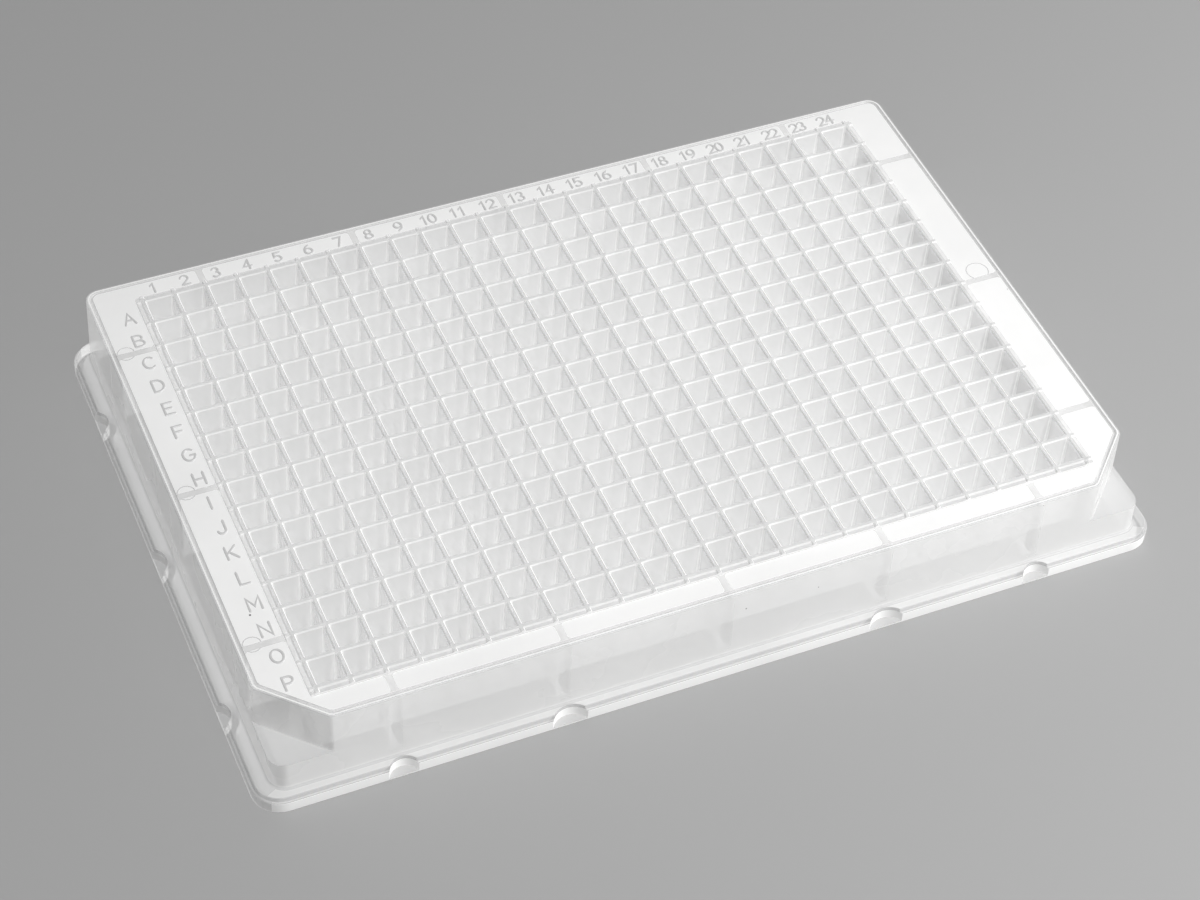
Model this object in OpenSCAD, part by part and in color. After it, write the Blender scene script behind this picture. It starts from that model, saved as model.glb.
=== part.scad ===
// 384-well microplate, moulded in one piece.
// Origin at the centre of the footprint, on the floor. +X runs from column 1 to column 24,
// +Y from row P to row A, +Z up. The two chamfered corners are P1 and P24.

/* [Footprint] */
// Length of the foot flange
plate_l = 127.76; // [127:0.01:154]
// Width of the foot flange
plate_w = 85.48; // [85:0.01:103]
// Corner radius of the foot flange
flange_r = 3.9; // [3.2:0.1:5]
// Height of the flange over the floor
flange_h = 2.41; // [2.1:0.01:3]
// Height of the flange's outer lip
lip_h = 1.8; // [1.2:0.1:2]
// Width of the step between the lip and the flange top
lip_step = 0.4; // [0.2:0.05:0.7]
// Wall thickness of the flange lip
lip_t = 1.25; // [1:0.05:1.3]

/* [Skirt] */
// How far the skirt's top edge stands in from the flange at the short sides
stand_in_x = 2.66; // [2.4:0.01:2.8]
// How far the skirt's top edge stands in from the flange at the long sides
stand_in_y = 2.05; // [1.8:0.01:2.2]
// Radius of the skirt's upright corners at the top
skirt_r = 2.0; // [1.5:0.1:2.5]
// Draft of the skirt: how far it leans out for each millimetre of height
skirt_lean = 0.025; // [0:0.005:0.035]
// Wall thickness of the skirt
skirt_t = 1.1; // [0.8:0.01:1.32]

/* [Deck] */
// Overall height, to the top of the ridges between the wells
plate_h = 14.1; // [12:0.01:17]
// Drop from the ridge tops to the deck between the skirt and the wells
deck_drop = 0.5; // [0.3:0.01:0.8]
// Thickness of the deck
deck_t = 1.2; // [0.9:0.05:1.5]
// Width of the rim outside the shallow groove round the deck
rim_w = 0.5; // [0.3:0.05:0.7]
// Width of the shallow groove
rim_groove_w = 0.35; // [0.2:0.05:0.5]
// Depth of the shallow groove
rim_groove_h = 0.2; // [0.1:0.05:0.3]

/* [Corner chamfers] */
// Leg of the two chamfers on the row P side
chamfer = 7.6; // [6:0.05:8.5]
// Height of the ledge at the foot of each chamfer
chamfer_z = 6.8; // [5:0.1:8]

/* [Wells] */
// Distance between well centres
pitch = 4.5; // [3.75:0.05:4.5]
// Number of columns
columns = 24; // [22:2:24]
// Number of rows
rows = 16; // [14:2:16]
// Width of the ridges between the square wells, at their tops
ridge_w = 0.7; // [0.6:0.05:1]
// How far each well wall leans in from its top to just over the bottom
well_draft = 0.28; // [0.15:0.01:0.35]
// Inset of the bevel round the well bottom
well_bevel = 0.45; // [0.2:0.05:0.8]
// Height of the inside of the well bottom
well_z = 2.9; // [2.6:0.1:4]
// Thickness of the well bottom
well_floor = 0.8; // [0.6:0.05:1]
// Wall thickness of the well block at its outside
block_t = 0.6; // [0.5:0.05:0.8]
// Width of the grooves between the wells on the underside
groove_w = 0.45; // [0.3:0.05:0.5]
// Height of the grooves' closed end
groove_top = 6.0; // [4:0.25:8]

/* [Frame round the wells] */
// Reach of the frame beyond the outermost ridge lines
frame_reach = 0.95; // [0.6:0.05:1.3]
// Drop from the ridge tops to the frame's flat
frame_drop = 0.24; // [0.1:0.01:0.28]
// Corner radius of the frame
frame_r = 0.5; // [0.3:0.05:0.8]

/* [Ribs and notches] */
// Thickness of the ribs between the well block and the skirt
rib_t = 0.8; // [0.6:0.05:1]
// Height of the ribs' lower edge
rib_z = 2.5; // [2.2:0.1:4]
// Columns of wells from one rib to the next along the long sides
rib_columns = 5; // [4:1:5]
// Rows of wells from one rib to the next along the short sides
rib_rows = 6; // [5:1:6]
// Radius of the larger flange notches
notch_r = 2.75; // [2.2:0.05:3]
// Radius of the smaller flange notches
notch_small_r = 2.1; // [1.8:0.05:2.4]
// Depth of the notches behind the flange's outer face
notch_deep = 1.4; // [1:0.05:1.5]
// Height of the web left under each notch
notch_web = 0.35; // [0.2:0.05:0.6]

/* [Hidden] */
$fn = 72;
eps = 0.01;
clear = 5;
grid_x = columns * pitch;
grid_y = rows * pitch;
well_top = pitch - ridge_w;
well_low = well_top - 2 * well_draft;
deck_z = plate_h - deck_drop;
frame_h = plate_h - frame_drop;
under_deck = deck_z - deck_t;
block_z = well_z - well_floor;
skirt_l = plate_l - 2 * stand_in_x;
skirt_w = plate_w - 2 * stand_in_y;
rib_pitch_x = rib_columns * pitch;
rib_pitch_y = rib_rows * pitch;
axis_x = skirt_l / 2 - skirt_r;
axis_y = skirt_w / 2 - skirt_r;
notch_wall = 1;
// Each notch: its place along the side, and its radius.
long_notches = [for (n = [-2, -1, 1, 2]) [n * rib_pitch_x, abs(n) == 1 ? notch_r : notch_small_r]];
short_notches = [for (n = [-1, 0, 1]) [n * rib_pitch_y, n == 0 ? notch_r : notch_small_r]];

function grow(z) = (deck_z - z) * skirt_lean;

// A flat rectangle with rounded corners
module rounded_rect(l, w, r) {
    square([l - 2 * r, w], center = true);
    square([l, w - 2 * r], center = true);
    for (sx = [-1, 1], sy = [-1, 1])
        translate([sx * (l / 2 - r), sy * (w / 2 - r)]) circle(r);
}

// An upright prism from z0 to z1
module layer(z0, z1) {
    translate([0, 0, z0]) linear_extrude(z1 - z0) children();
}

// The skirt's form, moved in by inset, with drafted walls and conical corners
module skirt_form(inset, z0, z1) {
    r0 = skirt_r + grow(z0) - inset;
    r1 = skirt_r + grow(z1) - inset;
    side = function(a) [[-a - r0, z0], [a + r0, z0], [a + r1, z1], [-a - r1, z1]];
    rotate([90, 0, 0]) linear_extrude(2 * axis_y, center = true) polygon(side(axis_x));
    rotate([90, 0, 90]) linear_extrude(2 * axis_x, center = true) polygon(side(axis_y));
    for (sx = [-1, 1], sy = [-1, 1])
        translate([sx * axis_x, sy * axis_y, z0]) cylinder(h = z1 - z0, r1 = r0, r2 = r1);
}

// What the two corner chamfers take off an outline that is moved in by inset
module chamfer_corners(inset) {
    reach = chamfer - (2 - sqrt(2)) * inset;
    for (s = [-1, 1])
        translate([s * (skirt_l / 2 - inset), -skirt_w / 2 + inset])
            polygon([[-s * reach, -clear], [-s * reach, 0], [0, reach], [s * clear, reach],
                     [s * clear, -clear]]);
}

// The outline of the deck, moved in from the skirt's top edge by inset
module deck_outline(inset) {
    difference() {
        rounded_rect(skirt_l - 2 * inset, skirt_w - 2 * inset, skirt_r - inset);
        chamfer_corners(inset);
    }
}

module flange() {
    layer(0, lip_h) rounded_rect(plate_l, plate_w, flange_r);
    layer(0, flange_h)
        rounded_rect(plate_l - 2 * lip_step, plate_w - 2 * lip_step, flange_r - lip_step);
}

module skirt() {
    difference() {
        skirt_form(0, lip_h, deck_z);
        layer(chamfer_z, deck_z + clear) chamfer_corners(0);
    }
}

// The hollow under the plate, seen from below
module hollow() {
    layer(-clear, flange_h - skirt_t)
        rounded_rect(plate_l - 2 * lip_t, plate_w - 2 * lip_t, flange_r - lip_t);
    difference() {
        skirt_form(skirt_t, flange_h - skirt_t - eps, under_deck);
        layer(chamfer_z - skirt_t, deck_z) chamfer_corners(skirt_t);
    }
}

// The shallow groove that leaves a narrow rim round the deck
module rim_groove() {
    layer(deck_z - rim_groove_h, plate_h) difference() {
        deck_outline(rim_w);
        deck_outline(rim_w + rim_groove_w);
    }
}

// A row of equal profiles along X, drawn in X and Z and swept along Y
module bank(count, depth, profile) {
    rotate([90, 0, 0]) linear_extrude(depth, center = true)
        for (n = [0:count - 1])
            translate([(n - (count - 1) / 2) * pitch, 0]) polygon(profile);
}

// Where a bank over the columns and a bank over the rows cross
module both_ways(profile) {
    intersection() {
        bank(columns, grid_y, profile);
        rotate([0, 0, 90]) bank(rows, grid_x, profile);
    }
}

module wells() {
    a = well_top / 2;
    b = well_low / 2;
    c = b - well_bevel;
    both_ways([[-a, plate_h + eps], [-b, well_z + well_bevel], [-c, well_z],
               [c, well_z], [b, well_z + well_bevel], [a, plate_h + eps]]);
}

// The outside of the well block, drafted like the wells
module block() {
    a = ridge_w / 2;
    b = (pitch - well_low) / 2 - block_t;
    side = function(g) [[-g / 2 + b, block_z], [g / 2 - b, block_z],
                        [g / 2 + a, under_deck + eps], [-g / 2 - a, under_deck + eps]];
    intersection() {
        rotate([90, 0, 0]) linear_extrude(grid_y + clear, center = true) polygon(side(grid_x));
        rotate([90, 0, 90]) linear_extrude(grid_x + clear, center = true) polygon(side(grid_y));
    }
}

module grooves() {
    a = groove_w / 2;
    slot = [[-a, block_z - clear], [a, block_z - clear], [a, groove_top], [-a, groove_top]];
    bank(columns - 1, grid_y + clear, slot);
    rotate([0, 0, 90]) bank(rows - 1, grid_x + clear, slot);
}

// The raised frame, and on it the ridges between the wells, run out to the frame's edge
module frame() {
    fx = grid_x + 2 * frame_reach;
    fy = grid_y + 2 * frame_reach;
    layer(deck_z - eps, frame_h) rounded_rect(fx, fy, frame_r);
    layer(frame_h - eps, plate_h) intersection() {
        rounded_rect(fx, fy, frame_r);
        union() {
            for (n = [0:columns])
                translate([(n - columns / 2) * pitch, 0]) square([ridge_w, fy], center = true);
            for (n = [0:rows])
                translate([0, (n - rows / 2) * pitch]) square([fx, ridge_w], center = true);
        }
    }
}

module ribs() {
    reach_x = skirt_l / 2 - skirt_t / 2;
    reach_y = skirt_w / 2 - skirt_t / 2;
    in_x = grid_x / 2 - block_t / 2;
    in_y = grid_y / 2 - block_t / 2;
    height = under_deck - rib_z + eps;
    for (n = [-2:2], s = [-1, 1])
        translate([n * rib_pitch_x - rib_t / 2, s > 0 ? in_y : -reach_y, rib_z])
            cube([rib_t, reach_y - in_y, height]);
    for (n = [-1:1], s = [-1, 1])
        translate([s > 0 ? in_x : -reach_x, n * rib_pitch_y - rib_t / 2, rib_z])
            cube([reach_x - in_x, rib_t, height]);
}

// Upright rounds at every notch, widened by extra, from z0 to z1
module at_notches(extra, z0, z1) {
    for (s = [-1, 1]) {
        for (n = long_notches)
            translate([n[0], s * (plate_w / 2 - notch_deep + n[1]), z0])
                cylinder(h = z1 - z0, r = n[1] + extra);
        for (n = short_notches)
            translate([s * (plate_l / 2 - notch_deep + n[1]), n[0], z0])
                cylinder(h = z1 - z0, r = n[1] + extra);
    }
}

// The flange's wall where it follows each notch round the inside
module notch_backs() {
    intersection() {
        layer(0, lip_h) rounded_rect(plate_l - lip_t, plate_w - lip_t, flange_r);
        at_notches(notch_wall, 0, flange_h);
    }
}

module well_plate() {
    color("whitesmoke") difference() {
        union() {
            difference() {
                union() {
                    flange();
                    skirt();
                }
                hollow();
                rim_groove();
            }
            difference() {
                block();
                grooves();
            }
            ribs();
            frame();
            notch_backs();
        }
        wells();
        at_notches(0, notch_web, plate_h);
    }
}

well_plate();
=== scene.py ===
"""The visual model of a 384-well microplate, laid out as an add-on.

The plate is one moulding. Its surfaces are worked out in millimetres, as rings carried round the
plate and a pattern repeated at the well pitch, and they are turned into metres at the very end.
+X runs from column 1 to column 24, +Y from row P to row A, +Z up; the floor is at Z = 0.
"""

import math

import bmesh
import bpy
import numpy as np
from bpy.props import FloatProperty, FloatVectorProperty, IntProperty, PointerProperty
from mathutils import Matrix, Vector
from mathutils.geometry import delaunay_2d_cdt


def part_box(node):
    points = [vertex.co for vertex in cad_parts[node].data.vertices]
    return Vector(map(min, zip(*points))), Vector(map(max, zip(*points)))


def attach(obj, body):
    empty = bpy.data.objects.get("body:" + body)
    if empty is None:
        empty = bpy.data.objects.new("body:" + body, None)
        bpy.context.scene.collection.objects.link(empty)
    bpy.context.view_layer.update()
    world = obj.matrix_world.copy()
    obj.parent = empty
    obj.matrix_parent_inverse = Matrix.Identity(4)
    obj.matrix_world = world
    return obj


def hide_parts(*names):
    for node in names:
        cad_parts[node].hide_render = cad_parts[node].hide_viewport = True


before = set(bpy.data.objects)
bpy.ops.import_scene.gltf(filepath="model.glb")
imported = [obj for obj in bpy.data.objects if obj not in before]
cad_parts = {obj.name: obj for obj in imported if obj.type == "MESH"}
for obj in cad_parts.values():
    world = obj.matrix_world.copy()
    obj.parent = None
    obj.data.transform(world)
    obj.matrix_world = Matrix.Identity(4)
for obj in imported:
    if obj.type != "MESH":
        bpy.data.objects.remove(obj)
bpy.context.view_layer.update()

bl_info = {
    "name": "Well Plate",
    "version": (1, 0, 0),
    "blender": (4, 5, 0),
    "location": "View3D > Sidebar > Well Plate",
    "description": "Builds a 384-well microplate with its labels, and a stage to show it on",
    "category": "Add Mesh",
}

NODE = "well_plate"
BODY = "root"
MM = 0.001
HIGH = Vector(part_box(NODE)[1]) / MM

# Small shapes of the moulding, in millimetres.
CREST = 0.2          # half the width of a ridge's flat top
FOOT = 0.35          # half the width of a ridge where it meets the frame's flat
NOTCH_WEB = 0.35     # height of the web under each notch
NOTCH_WALL = 1.0     # thickness of the wall behind each notch
BEND = 0.3           # how far before and after a chamfer its bends start
LEAST_RADIUS = 0.35  # of a skirt level's corners, however far in it lies
LEDGE_FILLET = 0.12  # how far out the chamfers' faces curve where they meet their ledges
RIB_FLARE = 0.55     # how much a rib widens, on each side, where it meets a wall
SINK = 0.03          # depth of the sinks over the ribs
SINK_SPREAD = 0.08   # how much wider than its rib a sink is, on each side
SINK_FLARE = 0.45    # how much a sink widens, on each side, at its ends
OVERLAP = 0.4        # how far a helper body reaches past the faces that it crosses
BURIED = 0.4         # how far under the deck's face the block and the ribs end

# Profiles, in millimetres.
# A well from the ridge tops down: half width, corner radius, roundness, height over the ridge tops
WELL_RINGS = ((2.25, 0.2, 0.0, 0.0), (2.05, 0.18, 1.0, 0.0), (1.9, 0.25, 1.0, -0.16))
# The same from the foot of its walls down, with the height over the well's floor
WELL_FEET = ((1.63, 0.45, 1.0, 0.55), (1.48, 0.5, 1.0, 0.15), (1.13, 0.5, 1.0, 0.0))
# The deck's rim, from its groove outwards: distance in from the skirt, distance under the deck
RIM = ((0.95, 0.0), (0.84, 0.14), (0.66, 0.17), (0.56, 0.05), (0.44, 0.0), (0.24, 0.0),
       (0.08, 0.05), (0.0, 0.18))
# The fillet at the skirt's foot: distance out from the skirt, height over the flange
SKIRT_FILLET = ((0.0, 0.5), (0.05, 0.22), (0.18, 0.06), (0.38, 0.0))
# The fillet under the deck: distance in from the skirt's inside, distance under the roof
ROOF_FILLET = ((0.0, 0.6), (0.12, 0.2), (0.5, 0.0))

# Labels and pin marks, in millimetres.
LETTERS_X, DIGITS_Y = -56.7, 38.3
LETTERS_SHIFT = 0.2  # how far the letters stand off the middles of their rows
DIGITS_SHIFT = 0.1   # how far the numbers stand off the middles of their columns
DIGIT_STEP = 1.25    # from one digit of a number to the next
DIGIT_MIDDLE = 0.3   # the middle of a digit's box, as a share of its height
PIN_RINGS = ((-59.0, 27.3, 1.2), (-59.0, 0.3, 1.2), (-59.0, -26.6, 1.2), (57.8, 1.6, 1.6))
PIN_STROKE, PIN_RELIEF = 0.14, 0.03
# How far a stroke runs past its path, and the widths of its ends and top, as shares of its width
STROKE_PAST, STROKE_END, STROKE_TOP = 0.45, 0.45, 0.6
STROKE_SHOULDER = 0.3  # where its sides start to slope, as a share of its height
SHARPEST = 0.55        # the least cosine of half a turn that its corners follow

# How finely the meshes are made, and how closely their points are compared.
ARC_POINTS = 9       # round a corner
NOTCH_POINTS = 11    # along a notch
FLARE_POINTS = 5     # along the flare of a rib
ARC_STEP = 22        # degrees, about, between the points of a letter's arc
EXACT = 1e-6         # millimetres: heights and points nearer than this are the same
WELD = 2e-4          # millimetres: points nearer than this are made one point
SLIVER = 5e-4        # millimetres: faces thinner than this are dropped
SMOOTH_ANGLE = 35.0  # degrees: edges sharper than this stay sharp

# How faces are told apart for their finishes: parts of their unit normals, then millimetres.
LEVEL = 0.99               # a level face points up by more than this
UPRIGHT = 0.5              # an upright face points up or down by less than this
OUTWARD = 0.3              # a face that looks outwards points out by more than this
SLANT = (0.3, 0.95)        # a ridge's rounded edge points up by between these
TURNED = 0.35              # a well's corner points along both axes by more than this
NEAR, NEARER = 0.02, 0.01  # faces this near a level belong to it
RIDGE_EDGE = 0.15          # how far down a ridge's rounded edges lie
SKIRT_DEPTH = 4.0          # the skirt and its chamfers lie within this depth
WELLS_DEPTH = 4.2          # the wells lie deeper than this
FLANGE_DEPTH = -0.2        # the flange's edge lies further out than this

# The finishes of the plastic, in the order of the piece's materials.
CLEAR, FROSTED, MILKY, SHADED = range(4)
# Name, the looks that hold the colour and the body, roughness and strength of the ripple
# the clear finish's grey also paints the shade inside the wells
FINISHES = (("clear", "clear_colour_and_well_shade", "clear_body", 0.16, 0.1),
            ("frosted", "frosted_colour_and_highlight", "frosted_body", 0.35, 0.3),
            ("milky", "milky_colour_and_highlight", "milky_body", 0.22, 0.2),
            # the shaded finish's darker grey paints shade on the letters and numbers
            ("shaded", "sign_painted_shade", "frosted_body", 0.3, 0.2))
PLASTIC_IOR = 1.49
RIPPLE_DEPTH = 0.02 * MM
ROUGHNESS_DRIFT = 0.12  # how much rougher the thickest haze is
SPECK_RADIUS = 0.03     # as a share of the cells that the specks stand in
SPECK_SHADE = 0.35      # cells with a darker random shade than this have a speck
FLOOR_ROUGHNESS = 0.8

# The stage: degrees and metres, unless a comment says otherwise.
AZIMUTH, ELEVATION, ROLL = -25.793, 47.049, 3.851
TARGET, DISTANCE = Vector((-3.169, -5.959, 7.0)) * MM, 388.93 * MM
FOCAL_LENGTH, SENSOR_WIDTH = 86.16, 36.0  # millimetres
NEAR_CLIP = 0.01
FLOOR_REACH = 2500.0  # millimetres from the middle to each side
# Name, place, width and watts; both lights point at the origin
LIGHTS = (("key", (0.37, -0.29, 0.31), 0.3, 3.3), ("fill", (-0.6, -0.2, 0.45), 0.8, 1.3))
SKY_STRENGTH = 0.35
BOUNCES, DIFFUSE_BOUNCES, TRANSPARENT_BOUNCES = 8, 4, 14


# ---- sizes and colours


def length(name, description, default):
    """A property that holds a length in millimetres."""
    return FloatProperty(name=name, description=description + ", in millimetres", default=default,
                         min=0.0, precision=3)


def tint(name, description, default):
    """A property that holds a colour."""
    return FloatVectorProperty(name=name, description=description, default=default, size=3,
                               min=0.0, max=1.0, subtype="COLOR")


def solidity(name, description, default):
    """A property that says how solid a finish looks: 1 hides what is behind it."""
    return FloatProperty(name=name, description=description, default=default, min=0.0, max=1.0,
                         subtype="FACTOR")


class PlateSizes(bpy.types.PropertyGroup):
    """The sizes of the moulding, in millimetres."""

    pitch: length("Pitch", "Distance between well centres", 4.5)
    columns: IntProperty(name="Columns", description="Wells along the plate", default=24, min=1)
    rows: IntProperty(name="Rows", description="Wells across the plate", default=16, min=1)
    skirt_length: length("Skirt length", "Length of the skirt at the deck", 122.44)
    skirt_width: length("Skirt width", "Width of the skirt at the deck", 81.38)
    skirt_radius: length("Skirt radius", "Radius of the skirt's corners at the deck", 2.0)
    skirt_lean: FloatProperty(name="Skirt lean", description="How far the skirt leans out for each "
                              "millimetre of height", default=0.025, min=0.0, precision=4)
    wall: length("Wall", "Thickness of the skirt's wall", 1.1)
    deck_height: length("Deck height", "Height of the deck", 13.6)
    deck_thickness: length("Deck thickness", "Thickness of the deck", 1.2)
    flange_height: length("Flange height", "Height of the flange's top", 2.41)
    flange_radius: length("Flange radius", "Radius of the flange's corners", 3.9)
    lip_height: length("Lip height", "Height of the lip round the flange", 1.8)
    lip_step: length("Lip step", "Width of the step on top of the lip", 0.4)
    lip_wall: length("Lip wall", "Thickness of the lip's wall", 1.25)
    chamfer: length("Chamfer", "Leg of the chamfer on the two corners of row P", 7.6)
    ledge_height: length("Ledge height", "Height of the ledge under each chamfer", 6.8)
    frame_reach: length("Frame reach", "How far the frame reaches past the outer ridges", 0.95)
    frame_height: length("Frame height", "Height of the frame's flat", 13.86)
    well_floor: length("Well floor", "Height of the inside of the well bottoms", 2.9)
    block_foot: length("Block foot", "Height of the underside of the wells", 2.1)
    rib: length("Rib", "Thickness of the ribs under the deck", 0.8)
    rib_foot: length("Rib foot", "Height of the ribs' lower edge", 2.5)
    notch: length("Notch", "Radius of the larger notches in the flange", 2.75)
    small_notch: length("Small notch", "Radius of the smaller notches in the flange", 2.1)
    notch_depth: length("Notch depth", "Depth of the notches", 1.4)
    letter: length("Letter height", "Height of the row letters", 2.1)
    digit: length("Digit height", "Height of the column numbers", 1.75)
    stroke: length("Stroke", "Width of the strokes of the letters and numbers", 0.36)
    relief: length("Relief", "How far the letters and numbers stand out of the deck", 0.13)


class PlateLooks(bpy.types.PropertyGroup):
    """The colours of the plastic and the stage."""

    # also painted shade: this grey darkens the wells, in place of the shadow the plate doesn't cast
    clear_colour_and_well_shade: tint("Clear colour", "Colour of the plastic where its walls are polished",
                       (0.755, 0.755, 0.755))
    # also the colour of the painted highlights on the ridges' edges between columns
    frosted_colour_and_highlight: tint("Frosted colour", "Colour of the plastic where it is frosted",
                         (0.97, 0.97, 0.965))
    # also the colour of the painted highlights on the ridges' edges between rows and the wells'
    # corners
    milky_colour_and_highlight: tint("Milky colour", "Colour of the plastic on the outside of the skirt",
                       (0.93, 0.93, 0.925))
    # painted shade: a darker grey for the shade on the letters' and numbers' rounded strokes
    sign_painted_shade: tint("Sign colour", "Colour of the raised letters and numbers",
                      (0.62, 0.62, 0.62))
    clear_body: solidity("Clear body", "How solid the polished walls look", 0.42)
    frosted_body: solidity("Frosted body", "How solid the frosted deck looks", 0.92)
    milky_body: solidity("Milky body", "How solid the skirt's outside looks", 0.48)
    floor: tint("Floor", "Colour of the floor", (0.38, 0.38, 0.38))


# ---- mesh tools


def quads_between(levels, around, closed=False):
    """The four corners of each face of a grid of points, closed along its rows if asked."""
    index = np.arange(levels * around).reshape(levels, around)
    if closed:
        index = np.hstack([index, index[:, :1]])
    quads = np.stack([index[:-1, :-1], index[:-1, 1:], index[1:, 1:], index[1:, :-1]], -1)
    return quads.reshape(-1, 4)


def quarter_turns(turn, size=2):
    """The matrix that turns rows of points anticlockwise by a number of quarter turns."""
    cos, sin = ((1, 0), (0, 1), (-1, 0), (0, -1))[turn]
    matrix = np.eye(size)
    matrix[:2, :2] = [[cos, sin], [-sin, cos]]
    return matrix


class Surface:
    """Patches of points and faces, in millimetres, that are welded into one mesh."""

    def __init__(self):
        self.points = []
        self.faces = []
        self.count = 0

    def add(self, points, faces):
        """Takes (n, 3) points and faces that count from the first of them."""
        self.points.append(points)
        self.faces += [[i + self.count for i in face] for face in faces]
        self.count += len(points)

    def grid(self, points, closed=False):
        """A sheet of quads over (rows, columns, 3) points, closed along the columns if asked."""
        quads = quads_between(*points.shape[:2], closed)
        self.add(points.reshape(-1, 3), quads.tolist())

    def cap(self, ring):
        """One flat face inside a ring of points."""
        self.add(ring, [list(range(len(ring)))])

    def mesh(self, name, closed=True):
        """The welded mesh, its faces turned outwards, still in millimetres."""
        mesh = bpy.data.meshes.new(name)
        mesh.from_pydata(np.concatenate(self.points), [], self.faces)
        shape = bmesh.new()
        shape.from_mesh(mesh)
        bmesh.ops.remove_doubles(shape, verts=shape.verts, dist=WELD)
        bmesh.ops.recalc_face_normals(shape, faces=shape.faces)
        if closed and not all(edge.is_manifold for edge in shape.edges):
            raise RuntimeError(f"the surface of the {name} isn't closed")
        shape.to_mesh(mesh)
        shape.free()
        return mesh


def tube(rings, name):
    """A closed mesh through rings of points, with a flat cap on each end."""
    surface = Surface()
    surface.grid(np.stack(rings), closed=True)
    surface.cap(rings[0])
    surface.cap(rings[-1])
    return surface.mesh(name)


def raised(outline, z):
    """A flat (n, 2) outline as (n, 3) points at height z."""
    return np.column_stack([outline, np.full(len(outline), z)])


def link(data, name):
    """A new object for a mesh, a light or a camera, at the origin."""
    thing = bpy.data.objects.new(name, data)
    bpy.context.scene.collection.objects.link(thing)
    return thing


def combine(body, tools, operation):
    """Joins each tool mesh's solid to the body's, or takes it away, and drops the tools."""
    thing = link(body, "combining")
    helpers = [link(tool, "tool") for tool in tools]
    for helper in helpers:
        step = thing.modifiers.new("Combine", "BOOLEAN")
        step.operation = operation
        step.solver = "MANIFOLD"
        step.object = helper
    graph = bpy.context.evaluated_depsgraph_get()
    result = bpy.data.meshes.new_from_object(thing.evaluated_get(graph))
    result.materials.clear()
    for used in [thing] + helpers:
        bpy.data.objects.remove(used)
    return result


def without_slivers(mesh):
    """The mesh without the needle-thin faces that a combination can leave, and still closed."""
    shape = bmesh.new()
    shape.from_mesh(mesh)
    bmesh.ops.dissolve_degenerate(shape, dist=SLIVER, edges=shape.edges)
    if not all(edge.is_manifold for edge in shape.edges):
        raise RuntimeError("the plate's surface came open")
    shape.to_mesh(mesh)
    shape.free()
    return mesh


def pick_finish(mesh, s):
    """Gives each face its finish.

    Frosted: the deck, the flange's edge along the long sides, and the rounded edges of the ridges
    between columns. Milky: those of the ridges between rows, the outside of the skirt, the
    flange's edge along the short sides, the rounded corners of the wells, and the other level
    faces seen from above, apart from the ridges' flat tops, the frame along rows A and P and the
    flange along the short sides. Shaded: the letters and numbers, a darker colour that paints
    shade on their strokes. Clear: the rest, whose greyer colour also paints the shade inside the
    wells. The brighter finishes on the ridges' rounded edges are painted highlights; on the wells'
    corners they are partly painted highlight and partly the whiter look of thicker plastic. The
    darker finishes on the flange along the short sides, milky on its edge and clear on its top,
    are painted shade. A face looks outwards if its normal points away from the plate's middle,
    across the side that it is nearest to, and its depth is its distance in from that side of the
    skirt.
    """
    count = len(mesh.polygons)
    normals, centres = np.empty(3 * count), np.empty(3 * count)
    mesh.polygons.foreach_get("normal", normals)
    mesh.polygons.foreach_get("center", centres)
    normals, centres = normals.reshape(-1, 3), centres.reshape(-1, 3)
    z, up, away = centres[:, 2], normals[:, 2], np.abs(centres[:, :2])
    lean = (s.deck_height - z[:, None]) * s.skirt_lean
    depth = np.array([s.skirt_length, s.skirt_width]) / 2 + lean - away
    nearest = np.argmin(depth, axis=1)
    pick = np.arange(count), nearest
    facing = normals[:, :2][pick] * np.sign(centres[:, :2])[pick]
    depth = depth[pick]
    short_side = nearest == 0
    level, upright = up > LEVEL, np.abs(up) < UPRIGHT
    outwards = upright & (facing > OUTWARD)

    at_deck = level & (np.abs(z - s.deck_height) < NEAR)
    tops = np.array([s.frame_height, s.deck_height - SINK, s.flange_height, s.lip_height,
                     NOTCH_WEB])
    at_top = level & (np.abs(z[:, None] - tops) < NEARER).any(axis=1)
    at_top &= (z < s.deck_height) | (away[:, 1] < s.rows / 2 * s.pitch)
    # painted shade: along the short sides the flange's level faces stay clear, darker than milky
    at_top &= (z > s.flange_height + NEAR) | ~short_side
    sign = (z > s.deck_height + NEAR) & (z < s.deck_height + s.relief + NEARER)
    sign &= (away > np.array([s.columns, s.rows]) / 2 * s.pitch + s.frame_reach).any(axis=1)
    # painted highlight: the ridges' rounded edges get a brighter finish than the clear walls
    ridge_edge_highlight = (z > HIGH.z - RIDGE_EDGE) & (up > SLANT[0]) & (up < SLANT[1])
    column_edge_highlight = ridge_edge_highlight & (np.abs(normals[:, 0]) > np.abs(normals[:, 1]))
    # the flange's edge is frosted and bright along the long sides, and milky, darker, along the
    # short sides: painted shade
    flange_edge = outwards & (z < s.lip_height) & (depth < FLANGE_DEPTH)
    skirt = outwards & (z > s.flange_height) & (depth < SKIRT_DEPTH)
    # partly painted highlight: the wells' rounded corners get the milky finish, lighter streaks for
    # glints as well as for the whiter, thicker plastic there
    corner = upright & (np.abs(normals[:, :2]).min(axis=1) > TURNED) & (depth > WELLS_DEPTH)
    finish = np.where(skirt | corner | at_top | ridge_edge_highlight | flange_edge, MILKY, CLEAR)
    # painted highlight: the ridges' edges between columns take the brightest, frosted finish
    finish[at_deck | (flange_edge & ~short_side) | column_edge_highlight] = FROSTED
    # painted shade: the letters and numbers take the darker shaded finish
    finish[sign] = SHADED
    mesh.polygons.foreach_set("material_index", finish.astype(np.int32))


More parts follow.
